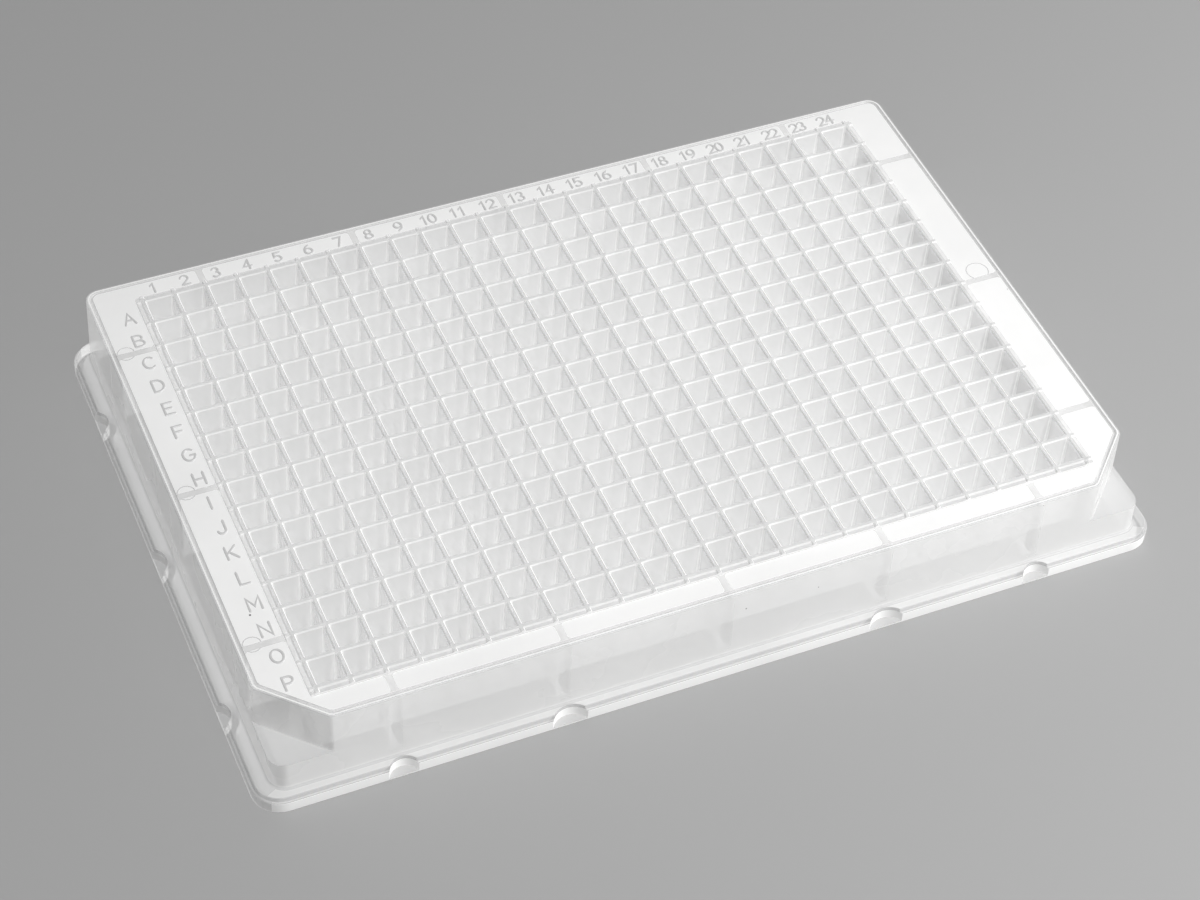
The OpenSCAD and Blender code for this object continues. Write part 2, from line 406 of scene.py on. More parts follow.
def finish_piece(mesh, name, materials):
    """Turns the mesh into metres, shades it, and makes it a piece that rides on the plate."""
    mesh.transform(Matrix.Scale(MM, 4))
    mesh.name = name
    piece = link(mesh, name)
    mesh.polygons.foreach_set("use_smooth", np.ones(len(mesh.polygons), bool))
    mesh.set_sharp_from_angle(angle=math.radians(SMOOTH_ANGLE))
    for material in materials:
        mesh.materials.append(material)
    even = piece.modifiers.new("Flat faces stay flat", "WEIGHTED_NORMAL")
    even.keep_sharp = True
    even.weight = 80
    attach(piece, BODY)
    return piece


# ---- the outline of a level


def notch_places(s):
    """The notches along each of the four sides: place along the side and radius."""
    long_side = ((-10, s.small_notch), (-5, s.notch), (5, s.notch), (10, s.small_notch))
    short_side = ((-6, s.small_notch), (0, s.notch), (6, s.small_notch))
    return [[(n * s.pitch, radius) for n, radius in side] for side in (long_side, short_side)] * 2


def notch_stretch(place, radius, side, face, depth, widen, active):
    """Points along one notch, from -chord to +chord about its place.

    They are spaced as chord * cos(angle). Where the notch is active, a point's distance from the
    plate's middle is centre - sqrt(radius^2 - x^2), and never more than the side's own distance.
    Elsewhere they lie on the side, so that every level has them.
    """
    centre = face - depth + radius
    wide, least = radius + widen, 0.6 * radius
    chord = math.sqrt(max(wide ** 2 - (centre - min(side, face)) ** 2, least ** 2))
    x = -chord * np.cos(np.linspace(0.0, math.pi, NOTCH_POINTS))
    out = np.full(NOTCH_POINTS, side)
    if active:
        out = np.minimum(side, centre - np.sqrt(np.maximum(wide ** 2 - x ** 2, 0.0)))
    return np.column_stack([place + x, -out])


def corner_stretch(half_length, half_width, radius, reach, bent, cut_off):
    """Points round one corner, in the frame of the side before it.

    A plain corner is a quarter circle. A bent corner has two more points on each wall, where the
    chamfer starts; if it is cut off, the points between lie on the straight line of the chamfer.
    """
    turn = np.linspace(0.0, math.pi / 2, ARC_POINTS)
    arc = np.column_stack([half_length - radius + radius * np.sin(turn),
                           radius - half_width - radius * np.cos(turn)])
    if not bent:
        return arc
    first = np.array([half_length - reach, -half_width])
    last = np.array([half_length, reach - half_width])
    along, up = np.array([1.0, 0.0]), np.array([0.0, 1.0])
    slant = (last - first) / np.linalg.norm(last - first)
    start = first + BEND * (slant if cut_off else along)
    stop = last - BEND * (slant if cut_off else up)
    if cut_off:
        arc = start + np.linspace(0.0, 1.0, ARC_POINTS + 2)[1:-1, None] * (stop - start)
    return np.vstack([first - BEND * along, start, arc, stop, last + BEND * up])


def outline(s, half_x, half_y, radius, cut_off=False, reach=None, notched=False, widen=0.0):
    """The closed outline of one level, anticlockwise from the front side's left notch.

    Every level has the same number of points in the same order, so two levels join with quads.
    """
    halves = [(half_x, half_y), (half_y, half_x)] * 2
    faces = [HIGH.y, HIGH.x] * 2
    reach = s.chamfer if reach is None else reach
    parts = []
    for turn, (notches, (along, out)) in enumerate(zip(notch_places(s), halves)):
        pieces = [notch_stretch(place, size, out, faces[turn], s.notch_depth, widen, notched)
                  for place, size in notches]
        bent = turn in (0, 3)
        pieces.append(corner_stretch(along, out, radius, reach, bent, cut_off and bent))
        parts.append(np.vstack(pieces) @ quarter_turns(turn))
    return np.vstack(parts)


def skirt_level(s, inset, z, cut_off, plain_inset=None):
    """A level of the skirt, moved in by inset. The walls lean out towards the foot.

    If plain_inset is given, the walls move in by that, and only the chamfers by inset.
    """
    out = (s.deck_height - z) * s.skirt_lean
    edge = inset if plain_inset is None else plain_inset
    reach = s.chamfer - (2 - math.sqrt(2)) * inset
    radius = max(s.skirt_radius + out - edge, LEAST_RADIUS)
    flat = outline(s, s.skirt_length / 2 + out - edge, s.skirt_width / 2 + out - edge, radius,
                   cut_off, reach + out)
    return raised(flat, z)


def flange_level(s, inset, z, notched, widen=0.0):
    """A level of the flange, moved in by inset from its outer face."""
    flat = outline(s, HIGH.x - inset, HIGH.y - inset, s.flange_radius - inset, notched=notched,
                   widen=widen)
    return raised(flat, z)


# ---- the moulding


def square_ring(half, radius, roundness):
    """Twelve points round a square, three at each corner, anticlockwise.

    The middle point of a corner lies on the arc of that radius, or on the corner itself where
    roundness is 0.
    """
    middle = half - roundness * radius * (1 - math.sqrt(0.5))
    corner = np.array([[half, half - radius], [middle, middle], [half - radius, half]])
    return np.vstack([corner @ quarter_turns(turn) for turn in range(4)])


def wells(surface, s):
    """All the wells: one ring pattern from the ridge tops to the floor, copied at the pitch."""
    pattern = np.stack([raised(square_ring(*square), level + rise) for level, profile in
                        ((HIGH.z, WELL_RINGS), (s.well_floor, WELL_FEET))
                        for *square, rise in profile])
    levels, around = pattern.shape[:2]
    x = (np.arange(s.columns) - (s.columns - 1) / 2) * s.pitch
    y = (np.arange(s.rows) - (s.rows - 1) / 2) * s.pitch
    centres = np.stack(np.meshgrid(x, y, indexing="ij"), -1).reshape(-1, 1, 2)
    points = np.tile(pattern.reshape(1, -1, 3), (len(centres), 1, 1))
    points[..., :2] += centres
    shift = np.arange(len(centres))[:, None, None] * levels * around
    quads = quads_between(levels, around, closed=True) + shift
    floors = np.arange((levels - 1) * around, levels * around) + shift[:, 0]
    surface.add(points.reshape(-1, 3), quads.reshape(-1, 4).tolist() + floors.tolist())


def ridge_height(s, distance, reach):
    """Height at a distance from a ridge's middle: flat for the crest, then down to the foot.

    At the frame's edge, where a point's reach out from the wells is the frame's, it is the deck's.
    """
    fall = np.clip((distance - CREST) / (FOOT - CREST), 0.0, 1.0)
    height = HIGH.z - fall * (HIGH.z - s.frame_height)
    return np.where(reach >= s.frame_reach, s.deck_height, height)


def frame_round_wells(surface, s):
    """The frame's four sides and corners, as a height over a grid, out to the deck.

    The innermost strip has only those points on its inner edge that the wells' rings have, so the
    piece of it beside each well is one face of six points.
    """
    slope, rounding = 0.08, 0.12
    out = np.array([0.0, CREST, FOOT, s.frame_reach - slope, s.frame_reach])
    for turn, (count, across) in enumerate([(s.columns, s.rows), (s.rows, s.columns)] * 2):
        half, end = across / 2 * s.pitch, count / 2 * s.pitch
        starts = (np.arange(count) - count / 2)[:, None] * s.pitch
        marks = np.array([0.0, CREST, FOOT, s.pitch - FOOT, s.pitch - CREST])
        along = np.append((starts + marks).ravel(), end)
        nearest = np.abs(along / s.pitch - np.round(along / s.pitch)) * s.pitch
        u, w = np.meshgrid(along, out, indexing="ij")
        z = ridge_height(s, np.minimum(nearest[:, None], w), w)
        points = np.stack([u, -(half + w), z], -1)
        u, w = np.meshgrid(out, out, indexing="ij")
        z = ridge_height(s, np.minimum(u, w), np.maximum(u, w))
        pull = rounding * (u * w / s.frame_reach ** 2) ** 4
        corner = np.stack([end + u - pull, -(half + w - pull), z], -1)
        spin = quarter_turns(turn, 3)
        surface.grid(points[:, 1:] @ spin)
        surface.grid(corner @ spin)
        strip = np.vstack([points[:, 0], points[:, 1]]) @ spin
        base = np.arange(count) * len(marks)
        n = len(points)
        ticks = np.concatenate([base, base + 4])
        squares = np.stack([ticks, ticks + 1, ticks + 1 + n, ticks + n], -1).tolist()
        gaps = np.stack([base + 1, base + 4, base + 4 + n, base + 3 + n, base + 2 + n,
                         base + 1 + n], -1).tolist()
        surface.add(strip, squares + gaps)


def deck(surface, s, outer):
    """The flat deck between the frame's foot and the outer ring, as triangles.

    The frame's foot is every point so far that lies at the deck's height, in order of its angle
    about the middle once both sides are scaled to the same length.
    """
    reach = np.array([s.columns, s.rows]) / 2 * s.pitch + s.frame_reach
    everything = np.concatenate(surface.points)
    at_deck = np.abs(everything[:, 2] - s.deck_height) < EXACT
    rim = np.unique(np.round(everything[at_deck, :2], 5), axis=0)
    inner = rim[np.argsort(np.arctan2(*(rim / reach).T[::-1]))]
    flat = np.vstack([outer[:, :2], inner])
    n, m = len(outer), len(inner)
    edges = [(i, (i + 1) % n) for i in range(n)] + [(n + i, n + (i + 1) % m) for i in range(m)]
    made, _, faces, *_ = delaunay_2d_cdt([Vector(p) for p in flat], edges, [], 1, EXACT)
    made = np.array(made)
    middle = made[np.array(faces)].mean(axis=1)
    inside = (np.abs(middle) < reach).all(axis=1)
    surface.add(raised(made, s.deck_height), np.array(faces)[~inside].tolist())


def outer_rings(s):
    """The levels round the outside, from the deck over the rim, the skirt and the flange."""
    top, ledge = s.deck_height, s.ledge_height
    rings = [skirt_level(s, inset, top - drop, True) for inset, drop in RIM]
    rings += [skirt_level(s, 0.0, ledge + rise, True) for rise in (0.35, 0.1)]
    rings.append(skirt_level(s, -LEDGE_FILLET, ledge, True, plain_inset=0.0))
    rings.append(skirt_level(s, 0.0, ledge - 0.01, False))
    foot, step, lip = s.flange_height, s.lip_step, s.lip_height
    rings += [skirt_level(s, -out, foot + rise, False) for out, rise in SKIRT_FILLET]
    # the flange's top, the step along it, the lip and its rounded edge, down to the notches' webs
    rings += [flange_level(s, inset, z, True) for inset, z in
              ((step + 0.12, foot), (step + 0.02, foot - 0.08), (step, lip + 0.1),
               (step - 0.06, lip), (0.14, lip), (0.04, lip - 0.05), (0.0, lip - 0.2),
               (0.0, NOTCH_WEB))]
    # the webs' tops, and down to the foot and its rounded edge
    rings += [flange_level(s, inset, z, False) for inset, z in
              ((0.0, NOTCH_WEB), (0.0, 0.2), (0.06, 0.05), (0.2, 0.0))]
    return rings


def hollow(s):
    """The empty space under the plate, as a closed mesh, before anything stands in it."""
    roof = s.deck_height - s.deck_thickness
    shelf = s.flange_height - s.wall
    step = s.ledge_height - s.wall
    # from under the floor up inside the lip to the underside of the flange's top
    rings = [flange_level(s, inset, z, True, NOTCH_WALL) for inset, z in
             ((s.lip_wall - 0.1, -1.0), (s.lip_wall - 0.1, 0.0), (s.lip_wall, 0.15),
              (s.lip_wall, shelf - 0.3), (s.lip_wall + 0.1, shelf - 0.05),
              (s.lip_wall + 0.3, shelf))]
    rings += [skirt_level(s, s.wall, z, False) for z in (shelf + 0.01, step - 0.01)]
    rings.append(skirt_level(s, s.wall, step, True))
    rings += [skirt_level(s, s.wall + inset, roof - drop, True) for inset, drop in ROOF_FILLET]
    return tube(rings, "hollow")


def block(s):
    """The outside of the well block, with grooves between the well bottoms.

    The underside is a height over a grid: a point lies at the grooves' closed end where it is
    within a groove's narrow half width of a line between wells, and at the block's foot where it
    is past the wide half width of every such line. The grooves stop short of the outer wall, the
    shell. The sides widen by flare up to the deck.
    """
    wide, narrow, groove_end = 0.26, 0.16, 6.0
    shell, slope, flare = 0.7, 0.15, 0.35

    def lines(count):
        """Where the grid lines lie, which are in a groove, and which the grooves reach."""
        middles = (np.arange(1, count) - count / 2)[:, None] * s.pitch
        places = (middles + np.array([-wide, -narrow, narrow, wide])).ravel()
        end = count / 2 * s.pitch
        places = np.concatenate([[-end, -end + shell, -end + shell + slope], places,
                                 [end - shell - slope, end - shell, end]])
        away = np.abs(places / s.pitch - np.round(places / s.pitch)) * s.pitch
        reached = np.abs(places) < end - shell - slope / 2
        return places, (away < (wide + narrow) / 2) & reached, reached

    x, in_x, reached_x = lines(s.columns)
    y, in_y, reached_y = lines(s.rows)
    grooved = (in_x[:, None] & reached_y[None]) | (in_y[None] & reached_x[:, None])
    z = np.where(grooved, groove_end, s.block_foot)
    u, v = np.meshgrid(x, y, indexing="ij")
    surface = Surface()
    surface.grid(np.stack([u, v, z], -1))
    flat = np.stack([u, v], -1)
    loop = np.concatenate([flat[:-1, 0], flat[-1, :-1], flat[:0:-1, -1], flat[0, :0:-1]])
    spread = 1 + flare / flat[-1, -1]
    rings = [raised(loop, s.block_foot), raised(loop * spread, s.deck_height - BURIED)]
    surface.grid(np.stack(rings), closed=True)
    surface.cap(rings[-1])
    return surface.mesh("block")


def side_facts(s, turn):
    """Where the ribs stand along one side, and how far out the wells and the skirt reach there."""
    if turn % 2:
        return [n * s.pitch for n in (-6, 0, 6)], s.columns / 2 * s.pitch, s.skirt_length / 2
    return [n * s.pitch for n in (-10, -5, 0, 5, 10)], s.rows / 2 * s.pitch, s.skirt_width / 2


def flare_steps(flare):
    """Points of the quarter circle by which a rib widens at its end.

    They are its distances from the end, flare * (1 - sin(angle)), and how much wider the rib is
    there on each side, flare * (1 - cos(angle)).
    """
    bow = np.linspace(0.0, math.pi / 2, FLARE_POINTS)
    return flare * (1 - np.sin(bow)), flare * (1 - np.cos(bow))


def round_strip(along, half, place):
    """Both coordinates of the points round a strip, up one side of it and down the other."""
    return (np.concatenate([along - half, (along + half)[::-1]]),
            np.concatenate([place, place[::-1]]))


def ribs(s):
    """The sixteen ribs between the well block and the skirt.

    A rib is a bar whose plan flares into the walls at both ends, carried up from its foot.
    """
    block_lean, skirt_lean = 0.2, 0.1
    reach, widen = flare_steps(RIB_FLARE)
    half = s.rib / 2 + np.concatenate([[RIB_FLARE], widen[::-1], widen, [RIB_FLARE]])
    made = []
    for turn in range(4):
        places, wells_end, skirt = side_facts(s, turn)
        first, last = wells_end + block_lean, skirt - s.wall + skirt_lean
        out = np.concatenate([[first - OVERLAP], first + reach[::-1], last - reach,
                              [last + OVERLAP]])
        for along in places:
            x, y = round_strip(along, half, out)
            plan = np.column_stack([x, -y]) @ quarter_turns(turn)
            made.append(tube([raised(plan, s.rib_foot), raised(plan, s.deck_height - BURIED)],
                             "rib"))
    return made


def slab(ring, lift, turn):
    """A closed slab between a ring of points and its copy moved by lift, on one of four sides."""
    return tube(np.stack([ring, ring + lift]) @ quarter_turns(turn, 3), "slab")


def sinks(s):
    """The shallow sinks that the ribs leave in the deck and the skirt, as meshes to take away.

    Each is a strip a little wider than the rib, and widens at its ends as the rib does. In the
    deck it runs from the frame to the rim, and in the skirt from over the flange to under the rim.
    """
    reach, widen = flare_steps(SINK_FLARE)
    narrow = s.rib / 2 + SINK_SPREAD
    gap, rim, over_flange, under_deck = 0.03, 1.0, 0.9, 0.5
    low, high = s.flange_height + over_flange, s.deck_height - under_deck
    made = []
    for turn in range(4):
        places, wells_end, skirt = side_facts(s, turn)
        first, last = wells_end + s.frame_reach + gap, skirt - rim
        for along in places:
            x, y = round_strip(along, narrow + np.concatenate([widen[::-1], widen]),
                               np.concatenate([first + reach[::-1], last - reach]))
            made.append(slab(np.column_stack([x, -y, np.full_like(x, s.deck_height - SINK)]),
                             (0.0, 0.0, OVERLAP), turn))
            x, z = round_strip(along, narrow + np.append(widen[::-1], 0.0),
                               np.append(low + reach[::-1], high))
            y = skirt + (s.deck_height - z) * s.skirt_lean - SINK
            made.append(slab(np.column_stack([x, -y, z]), (0.0, -OVERLAP, 0.0), turn))
    return made


# ---- letters and numbers


def arc(x, y, rx, ry, first, last):
    """Points along an ellipse's arc about (x, y), from one angle to another in degrees."""
    steps = max(3, int(abs(last - first) / ARC_STEP))
    turn = np.radians(np.linspace(first, last, steps + 1))
    return [(x + rx * math.cos(t), y + ry * math.sin(t)) for t in turn]


# Each sign is a list of strokes in a box one unit high, drawn along their middles.
SIGNS = {
    "A": [[(0.0, 0.0), (0.35, 1.0), (0.7, 0.0)], [(0.14, 0.36), (0.56, 0.36)]],
    "B": [[(0.0, 0.0), (0.0, 1.0)],
          [(0.0, 1.0)] + arc(0.33, 0.76, 0.25, 0.24, 90, -90) + [(0.0, 0.52)],
          [(0.2, 0.52)] + arc(0.36, 0.26, 0.28, 0.26, 90, -90) + [(0.0, 0.0)]],
    "C": [arc(0.38, 0.5, 0.38, 0.5, 48, 312)],
    "D": [[(0.0, 0.0), (0.0, 1.0)],
          [(0.0, 1.0)] + arc(0.28, 0.5, 0.42, 0.5, 90, -90) + [(0.0, 0.0)]],
    "E": [[(0.58, 1.0), (0.0, 1.0), (0.0, 0.0), (0.58, 0.0)], [(0.0, 0.52), (0.48, 0.52)]],
    "F": [[(0.58, 1.0), (0.0, 1.0), (0.0, 0.0)], [(0.0, 0.52), (0.48, 0.52)]],
    "G": [arc(0.38, 0.5, 0.38, 0.5, 48, 345) + [(0.75, 0.46), (0.45, 0.46)]],
    "H": [[(0.0, 0.0), (0.0, 1.0)], [(0.66, 0.0), (0.66, 1.0)], [(0.0, 0.5), (0.66, 0.5)]],
    "I": [[(0.0, 0.0), (0.0, 1.0)]],
    "J": [[(0.52, 1.0), (0.52, 0.3)] + arc(0.27, 0.27, 0.25, 0.27, 0, -170)],
    "K": [[(0.0, 0.0), (0.0, 1.0)], [(0.64, 1.0), (0.0, 0.38)], [(0.2, 0.58), (0.66, 0.0)]],
    "L": [[(0.0, 1.0), (0.0, 0.0), (0.56, 0.0)]],
    "M": [[(0.0, 0.0), (0.0, 1.0), (0.39, 0.3), (0.78, 1.0), (0.78, 0.0)]],
    "N": [[(0.0, 0.0), (0.0, 1.0), (0.68, 0.0), (0.68, 1.0)]],
    "O": [arc(0.38, 0.5, 0.38, 0.5, 0, 360)],
    "P": [[(0.0, 0.0), (0.0, 1.0)],
          [(0.0, 1.0)] + arc(0.34, 0.74, 0.26, 0.26, 90, -90) + [(0.0, 0.48)]],
    "0": [arc(0.3, 0.5, 0.3, 0.5, 0, 360)],
    "1": [[(0.12, 0.78), (0.34, 1.0), (0.34, 0.0)]],
    "2": [arc(0.3, 0.7, 0.3, 0.3, 160, -35) + [(0.0, 0.0)], [(0.03, 0.0), (0.62, 0.0)]],
    "3": [arc(0.29, 0.76, 0.25, 0.24, 150, -75), arc(0.29, 0.27, 0.29, 0.27, 75, -150)],
    "4": [[(0.46, 0.0), (0.46, 1.0)], [(0.46, 1.0), (0.0, 0.3), (0.64, 0.3)]],
    "5": [[(0.56, 1.0), (0.1, 1.0), (0.06, 0.55)], arc(0.28, 0.31, 0.3, 0.31, 140, -145)],
    "6": [arc(0.3, 0.3, 0.3, 0.3, 0, 360), arc(0.5, 0.34, 0.5, 0.62, 178, 104)],
    "7": [[(0.0, 1.0), (0.6, 1.0), (0.2, 0.0)]],
    "8": [arc(0.3, 0.76, 0.24, 0.24, 0, 360), arc(0.3, 0.26, 0.3, 0.26, 0, 360)],
    "9": [arc(0.3, 0.7, 0.3, 0.3, 0, 360), arc(0.1, 0.66, 0.5, 0.62, -2, -76)],
}


def bar(surface, path, width, z, height):
    """A stroke along a path: its section is a low bar with sloping sides and a flat top.

    At each point the bar reaches width / 2 to both sides, divided by the cosine of half the turn
    there. A path that ends where it starts is closed. Otherwise the bar narrows at both ends.
    """
    path = np.array(path, float)
    closed = np.allclose(path[0], path[-1])
    if closed:
        before, after = np.roll(path[:-1], 1, axis=0), np.roll(path[:-1], -1, axis=0)
        path = path[:-1]
    else:
        ends = np.array([path[1] - path[0], path[-1] - path[-2]])
        ends *= STROKE_PAST * width / np.linalg.norm(ends, axis=1, keepdims=True)
        path = np.vstack([path[0] - ends[0], path[0], path[1:-1], path[-1], path[-1] + ends[1]])
        before, after = np.vstack([path[:1], path[:-1]]), np.vstack([path[1:], path[-1:]])
    one = path - before
    two = after - path
    one = np.where(np.abs(one).sum(1, keepdims=True) > 0, one, two)
    two = np.where(np.abs(two).sum(1, keepdims=True) > 0, two, one)
    one /= np.linalg.norm(one, axis=1, keepdims=True)
    two /= np.linalg.norm(two, axis=1, keepdims=True)
    along = one + two
    along /= np.linalg.norm(along, axis=1, keepdims=True)
    mitre = 1.0 / np.maximum((one * along).sum(1, keepdims=True), SHARPEST)
    side = np.column_stack([-along[:, 1], along[:, 0]]) * mitre * width / 2
    if not closed:
        side[[0, -1]] *= STROKE_END
    shoulder = STROKE_SHOULDER * height
    section = [(-1.0, -height), (-1.0, shoulder), (-STROKE_TOP, height), (STROKE_TOP, height),
               (1.0, shoulder), (1.0, -height)]
    rings = np.stack([raised(path + across * side, z + up) for across, up in section], 1)
    if closed:
        rings = np.concatenate([rings, rings[:1]])
    surface.grid(rings, closed=True)
    if not closed:
        surface.cap(rings[0])
        surface.cap(rings[-1])


def labels(s):
    """The row letters, the column numbers and the pin marks, as a few meshes to join on.

    Strokes that could touch each other are in different meshes, so that no mesh crosses itself:
    a sign's first stroke, its second one, and so on, and the same for the sign after it.
    """
    layers = {}

    def put(strokes, size, x, y, second=False):
        """Adds a sign's strokes, with the lower left corner of its box at (x, y)."""
        for n, stroke in enumerate(strokes):
            path = np.array(stroke) * size + [x, y]
            layer = layers.setdefault((n, second), Surface())
            bar(layer, path, s.stroke, s.deck_height, s.relief)

    for row in range(s.rows):
        sign = chr(ord("A") + row)
        y = ((s.rows - 1) / 2 - row) * s.pitch
        width = max(x for stroke in SIGNS[sign] for x, _ in stroke) * s.letter
        put(SIGNS[sign], s.letter, LETTERS_X - width / 2, y - LETTERS_SHIFT - s.letter / 2)
    for column in range(s.columns):
        signs = str(column + 1)
        x = (column - (s.columns - 1) / 2) * s.pitch - DIGITS_SHIFT
        x -= DIGIT_STEP * (len(signs) - 1) / 2
        for n, sign in enumerate(signs):
            put(SIGNS[sign], s.digit, x + n * DIGIT_STEP - DIGIT_MIDDLE * s.digit,
                DIGITS_Y - s.digit / 2, n == 1)
    for x, y, radius in PIN_RINGS:
        bar(layers[0, False], arc(x, y, radius, radius, 0, 360), PIN_STROKE, s.deck_height,
            PIN_RELIEF)
    return [layer.mesh("labels") for layer in layers.values()]


def moulding(s):
    """The whole plate as one closed mesh."""
    surface = Surface()
    wells(surface, s)
    frame_round_wells(surface, s)
    rings = outer_rings(s)
    deck(surface, s, rings[0])
    surface.grid(np.stack(rings), closed=True)
    surface.cap(rings[-1])
    solid = combine(surface.mesh("solid"), labels(s), "UNION")
    space = combine(hollow(s), [block(s)] + ribs(s), "DIFFERENCE")
    return without_slivers(combine(solid, [space] + sinks(s), "DIFFERENCE"))


# ---- materials


def haze_group():
    """A shader group for the moulded plastic's uneven haze and its dark specks.

    Tone is the colour given, made up to a few hundredths darker by soft clouds, and dark in rare
    specks about a quarter of a millimetre across. Roughness is the one given, and up to a tenth
    more where the clouds are thick. Height is a fine ripple of the surface.
    """
    group = bpy.data.node_groups.new("moulded haze", "ShaderNodeTree")
    for name, kind, default in (("Colour", "NodeSocketColor", (1, 1, 1, 1)),
                                ("Speck Colour", "NodeSocketColor", (0.05, 0.05, 0.05, 1)),
                                ("Roughness", "NodeSocketFloat", 0.3)):
        group.interface.new_socket(name, in_out="INPUT", socket_type=kind).default_value = default
    for name, kind in (("Tone", "NodeSocketColor"), ("Roughness", "NodeSocketFloat"),
                       ("Height", "NodeSocketFloat")):
        group.interface.new_socket(name, in_out="OUTPUT", socket_type=kind)
    given, result = group.nodes.new("NodeGroupInput"), group.nodes.new("NodeGroupOutput")

    def add(kind, values=(), **settings):
        """A node with these settings, and with these values on its inputs."""
        node = group.nodes.new("ShaderNode" + kind)
        for name, value in settings.items():
            setattr(node, name, value)
        for socket, value in dict(values).items():
            node.inputs[socket].default_value = value
        return node

    place = add("TexCoord").outputs["Object"]
    clouds = add("TexNoise", {"Scale": 90.0, "Detail": 3.0})
    fade = add("MapRange", {"From Min": 0.35, "From Max": 0.7, "To Min": 1.0, "To Max": 0.955})
    tone = add("Mix", {"Factor": 1.0}, data_type="RGBA", blend_type="MULTIPLY")
    cells = add("TexVoronoi", {"Scale": 220.0})
    near = add("Math", {1: SPECK_RADIUS}, operation="LESS_THAN")
    rare = add("Math", {1: SPECK_SHADE}, operation="LESS_THAN")
    pick = add("Math", operation="MULTIPLY")
    speck = add("Mix", data_type="RGBA")
    drift = add("Math", {1: ROUGHNESS_DRIFT}, operation="MULTIPLY_ADD")
    ripple = add("TexNoise", {"Scale": 700.0, "Detail": 2.0})
    for source, node, socket in (
            (place, clouds, "Vector"), (clouds.outputs["Fac"], fade, "Value"),
            (given.outputs["Colour"], tone, "A"), (fade.outputs["Result"], tone, "B"),
            (place, cells, "Vector"), (cells.outputs["Distance"], near, 0),
            (cells.outputs["Color"], rare, 0), (near.outputs["Value"], pick, 0),
            (rare.outputs["Value"], pick, 1), (pick.outputs["Value"], speck, "Factor"),
            (tone.outputs["Result"], speck, "A"), (given.outputs["Speck Colour"], speck, "B"),
            (speck.outputs["Result"], result, "Tone"), (clouds.outputs["Fac"], drift, 0),
            (given.outputs["Roughness"], drift, 2), (drift.outputs["Value"], result, "Roughness"),
            (place, ripple, "Vector"), (ripple.outputs["Fac"], result, "Height")):
        group.links.new(source, node.inputs[socket])
    return group


def moulded_polypropylene(name, haze, colour, body, roughness, ripple):
    """Moulded plastic. Body is how solid it looks, and ripple the strength of its bump."""
    material = bpy.data.materials.new(name)
    material.use_nodes = True
    nodes, join = material.node_tree.nodes, material.node_tree.links.new
    shader = nodes["Principled BSDF"]
    finish = nodes.new("ShaderNodeGroup")
    finish.node_tree = haze
    finish.inputs["Colour"].default_value = (*colour, 1.0)
    finish.inputs["Roughness"].default_value = roughness
    bump = nodes.new("ShaderNodeBump")
    bump.inputs["Strength"].default_value = ripple
    bump.inputs["Distance"].default_value = RIPPLE_DEPTH
    join(finish.outputs["Height"], bump.inputs["Height"])
    join(finish.outputs["Tone"], shader.inputs["Base Color"])
    join(finish.outputs["Roughness"], shader.inputs["Roughness"])
    join(bump.outputs["Normal"], shader.inputs["Normal"])
    shader.inputs["Alpha"].default_value = body
    shader.inputs["IOR"].default_value = PLASTIC_IOR
    return material


def matte(name, colour):
    """A plain painted surface, for the stage."""
    material = bpy.data.materials.new(name)
    material.use_nodes = True
    shader = material.node_tree.nodes["Principled BSDF"]
    shader.inputs["Base Color"].default_value = (*colour, 1.0)
    shader.inputs["Roughness"].default_value = FLOOR_ROUGHNESS
    return material


# ---- operators


class PLATE_OT_moulding(bpy.types.Operator):
    """Build the plate itself: flange, skirt, deck, wells and ribs"""

    bl_idname = "plate.moulding"
    bl_label = "Plate"

    def execute(self, context):
        sizes, looks = context.scene.plate_sizes, context.scene.plate_looks
        haze = haze_group()
        materials = [moulded_polypropylene(f"{name} polypropylene", haze, getattr(looks, colour),
                                           getattr(looks, body), roughness, ripple)
                     for name, colour, body, roughness, ripple in FINISHES]
        mesh = moulding(sizes)
        pick_finish(mesh, sizes)
        piece = finish_piece(mesh, "plate_moulding", materials)
        piece.visible_shadow = False
        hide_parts(NODE)
        return {"FINISHED"}


class PLATE_OT_stage(bpy.types.Operator):
    """Add the floor, the soft lights and the camera"""

    bl_idname = "plate.stage"
    bl_label = "Stage"

    def execute(self, context):
        scene = context.scene
        surface = Surface()
        corners = np.array([[-1, -1, 0], [1, -1, 0], [1, 1, 0], [-1, 1, 0]])
        surface.add(FLOOR_REACH * corners, [[0, 1, 2, 3]])
        mesh = surface.mesh("floor", closed=False)
        mesh.transform(Matrix.Scale(MM, 4))
        floor = link(mesh, "floor")
        floor.data.materials.append(matte("floor", scene.plate_looks.floor))
        scene.world = bpy.data.worlds.new("studio")
        scene.world.use_nodes = True
        sky = scene.world.node_tree.nodes["Background"].inputs
        sky["Color"].default_value = (1, 1, 1, 1)
        sky["Strength"].default_value = SKY_STRENGTH
        scene.view_settings.view_transform = "Standard"
        for light in LIGHTS:
            add_light(*light)
        paths = scene.cycles
        paths.max_bounces, paths.diffuse_bounces = BOUNCES, DIFFUSE_BOUNCES
        paths.transparent_max_bounces = TRANSPARENT_BOUNCES
        add_camera(scene)
        return {"FINISHED"}


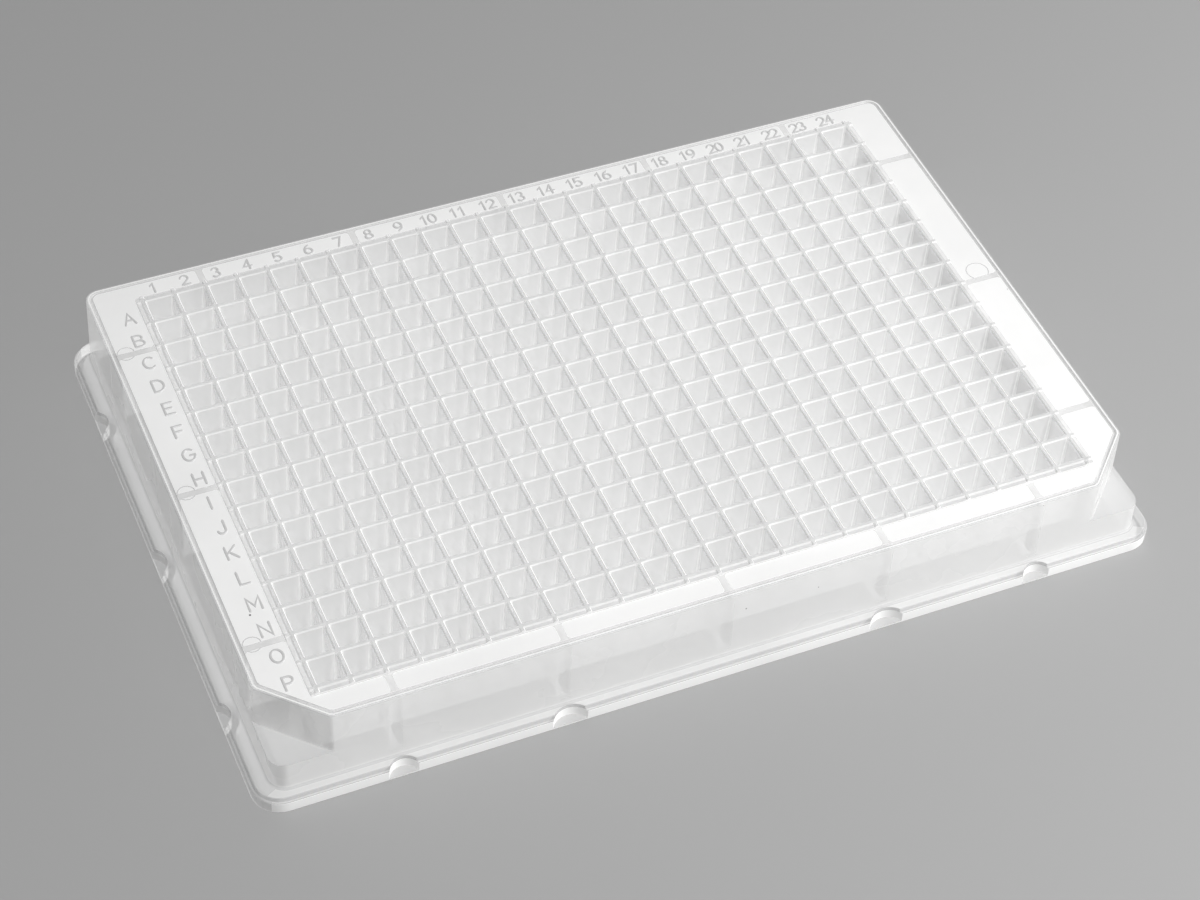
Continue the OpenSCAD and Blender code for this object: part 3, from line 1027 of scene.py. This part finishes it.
def add_light(name, place, size, power):
    """A square soft light at a place, turned to the origin."""
    light = bpy.data.lights.new(name, "AREA")
    light.size = size
    light.energy = power
    lamp = link(light, name)
    lamp.location = place
    lamp.rotation_euler = (-Vector(place)).to_track_quat("-Z", "Y").to_euler()


def add_camera(scene):
    """The camera: it looks at a target from an azimuth and an elevation, with a slight roll."""
    azimuth, elevation, roll = (math.radians(angle) for angle in (AZIMUTH, ELEVATION, ROLL))
    back = Vector((math.sin(azimuth) * math.cos(elevation),
                   -math.cos(azimuth) * math.cos(elevation), math.sin(elevation)))
    right = Vector((math.cos(azimuth), math.sin(azimuth), 0.0))
    up = back.cross(right)
    across = math.cos(roll) * right + math.sin(roll) * up
    above = math.cos(roll) * up - math.sin(roll) * right
    lens = bpy.data.cameras.new("camera")
    lens.sensor_width = SENSOR_WIDTH
    lens.lens = FOCAL_LENGTH
    lens.clip_start = NEAR_CLIP
    camera = link(lens, "camera")
    turn = Matrix((across, above, back)).transposed().to_4x4()
    camera.matrix_world = Matrix.Translation(TARGET + DISTANCE * back) @ turn
    scene.camera = camera


class PLATE_PT_panel(bpy.types.Panel):
    """The sidebar panel that lists the pieces and their sizes"""

    bl_idname = "PLATE_PT_panel"
    bl_label = "Well Plate"
    bl_space_type = "VIEW_3D"
    bl_region_type = "UI"
    bl_category = "Well Plate"

    def draw(self, context):
        for group in (context.scene.plate_sizes, context.scene.plate_looks):
            for name in group.bl_rna.properties.keys():
                if name not in ("rna_type", "name"):
                    self.layout.prop(group, name)
        for operator in OPERATORS:
            self.layout.operator(operator.bl_idname)


OPERATORS = (PLATE_OT_moulding, PLATE_OT_stage)
CLASSES = (PlateSizes, PlateLooks) + OPERATORS + (PLATE_PT_panel,)


def register():
    for cls in CLASSES:
        bpy.utils.register_class(cls)
    bpy.types.Scene.plate_sizes = PointerProperty(type=PlateSizes)
    bpy.types.Scene.plate_looks = PointerProperty(type=PlateLooks)


def unregister():
    del bpy.types.Scene.plate_looks
    del bpy.types.Scene.plate_sizes
    for cls in reversed(CLASSES):
        bpy.utils.unregister_class(cls)


def main():
    """Builds every piece in order."""
    register()
    bpy.ops.plate.moulding()
    bpy.ops.plate.stage()


if __name__ == "__main__":
    main()
